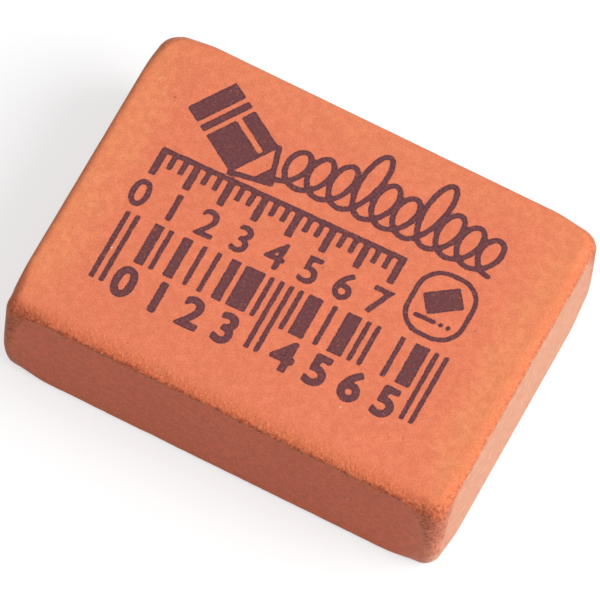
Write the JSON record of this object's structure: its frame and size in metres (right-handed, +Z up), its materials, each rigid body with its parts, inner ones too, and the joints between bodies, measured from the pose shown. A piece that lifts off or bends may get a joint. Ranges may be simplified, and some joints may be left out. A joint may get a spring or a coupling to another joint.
{
  "type": "rubber eraser",
  "caption": "Small block eraser of vulcanised rubber: a flat rounded rectangle with worn corners and softened rims, lying on its broad face.",
  "frame": {"origin": "centre of the underside, on the surface the eraser lies on", "axes": "+X along the long side, +Y across the block, +Z up out of the printed face"},
  "size_m": [0.026, 0.019, 0.0073],
  "materials": {
    "rubber": "matte, powdery"
  },
  "bodies": {
    "root": {"eraser_block": "rubber"}
  },
  "joints": []
}
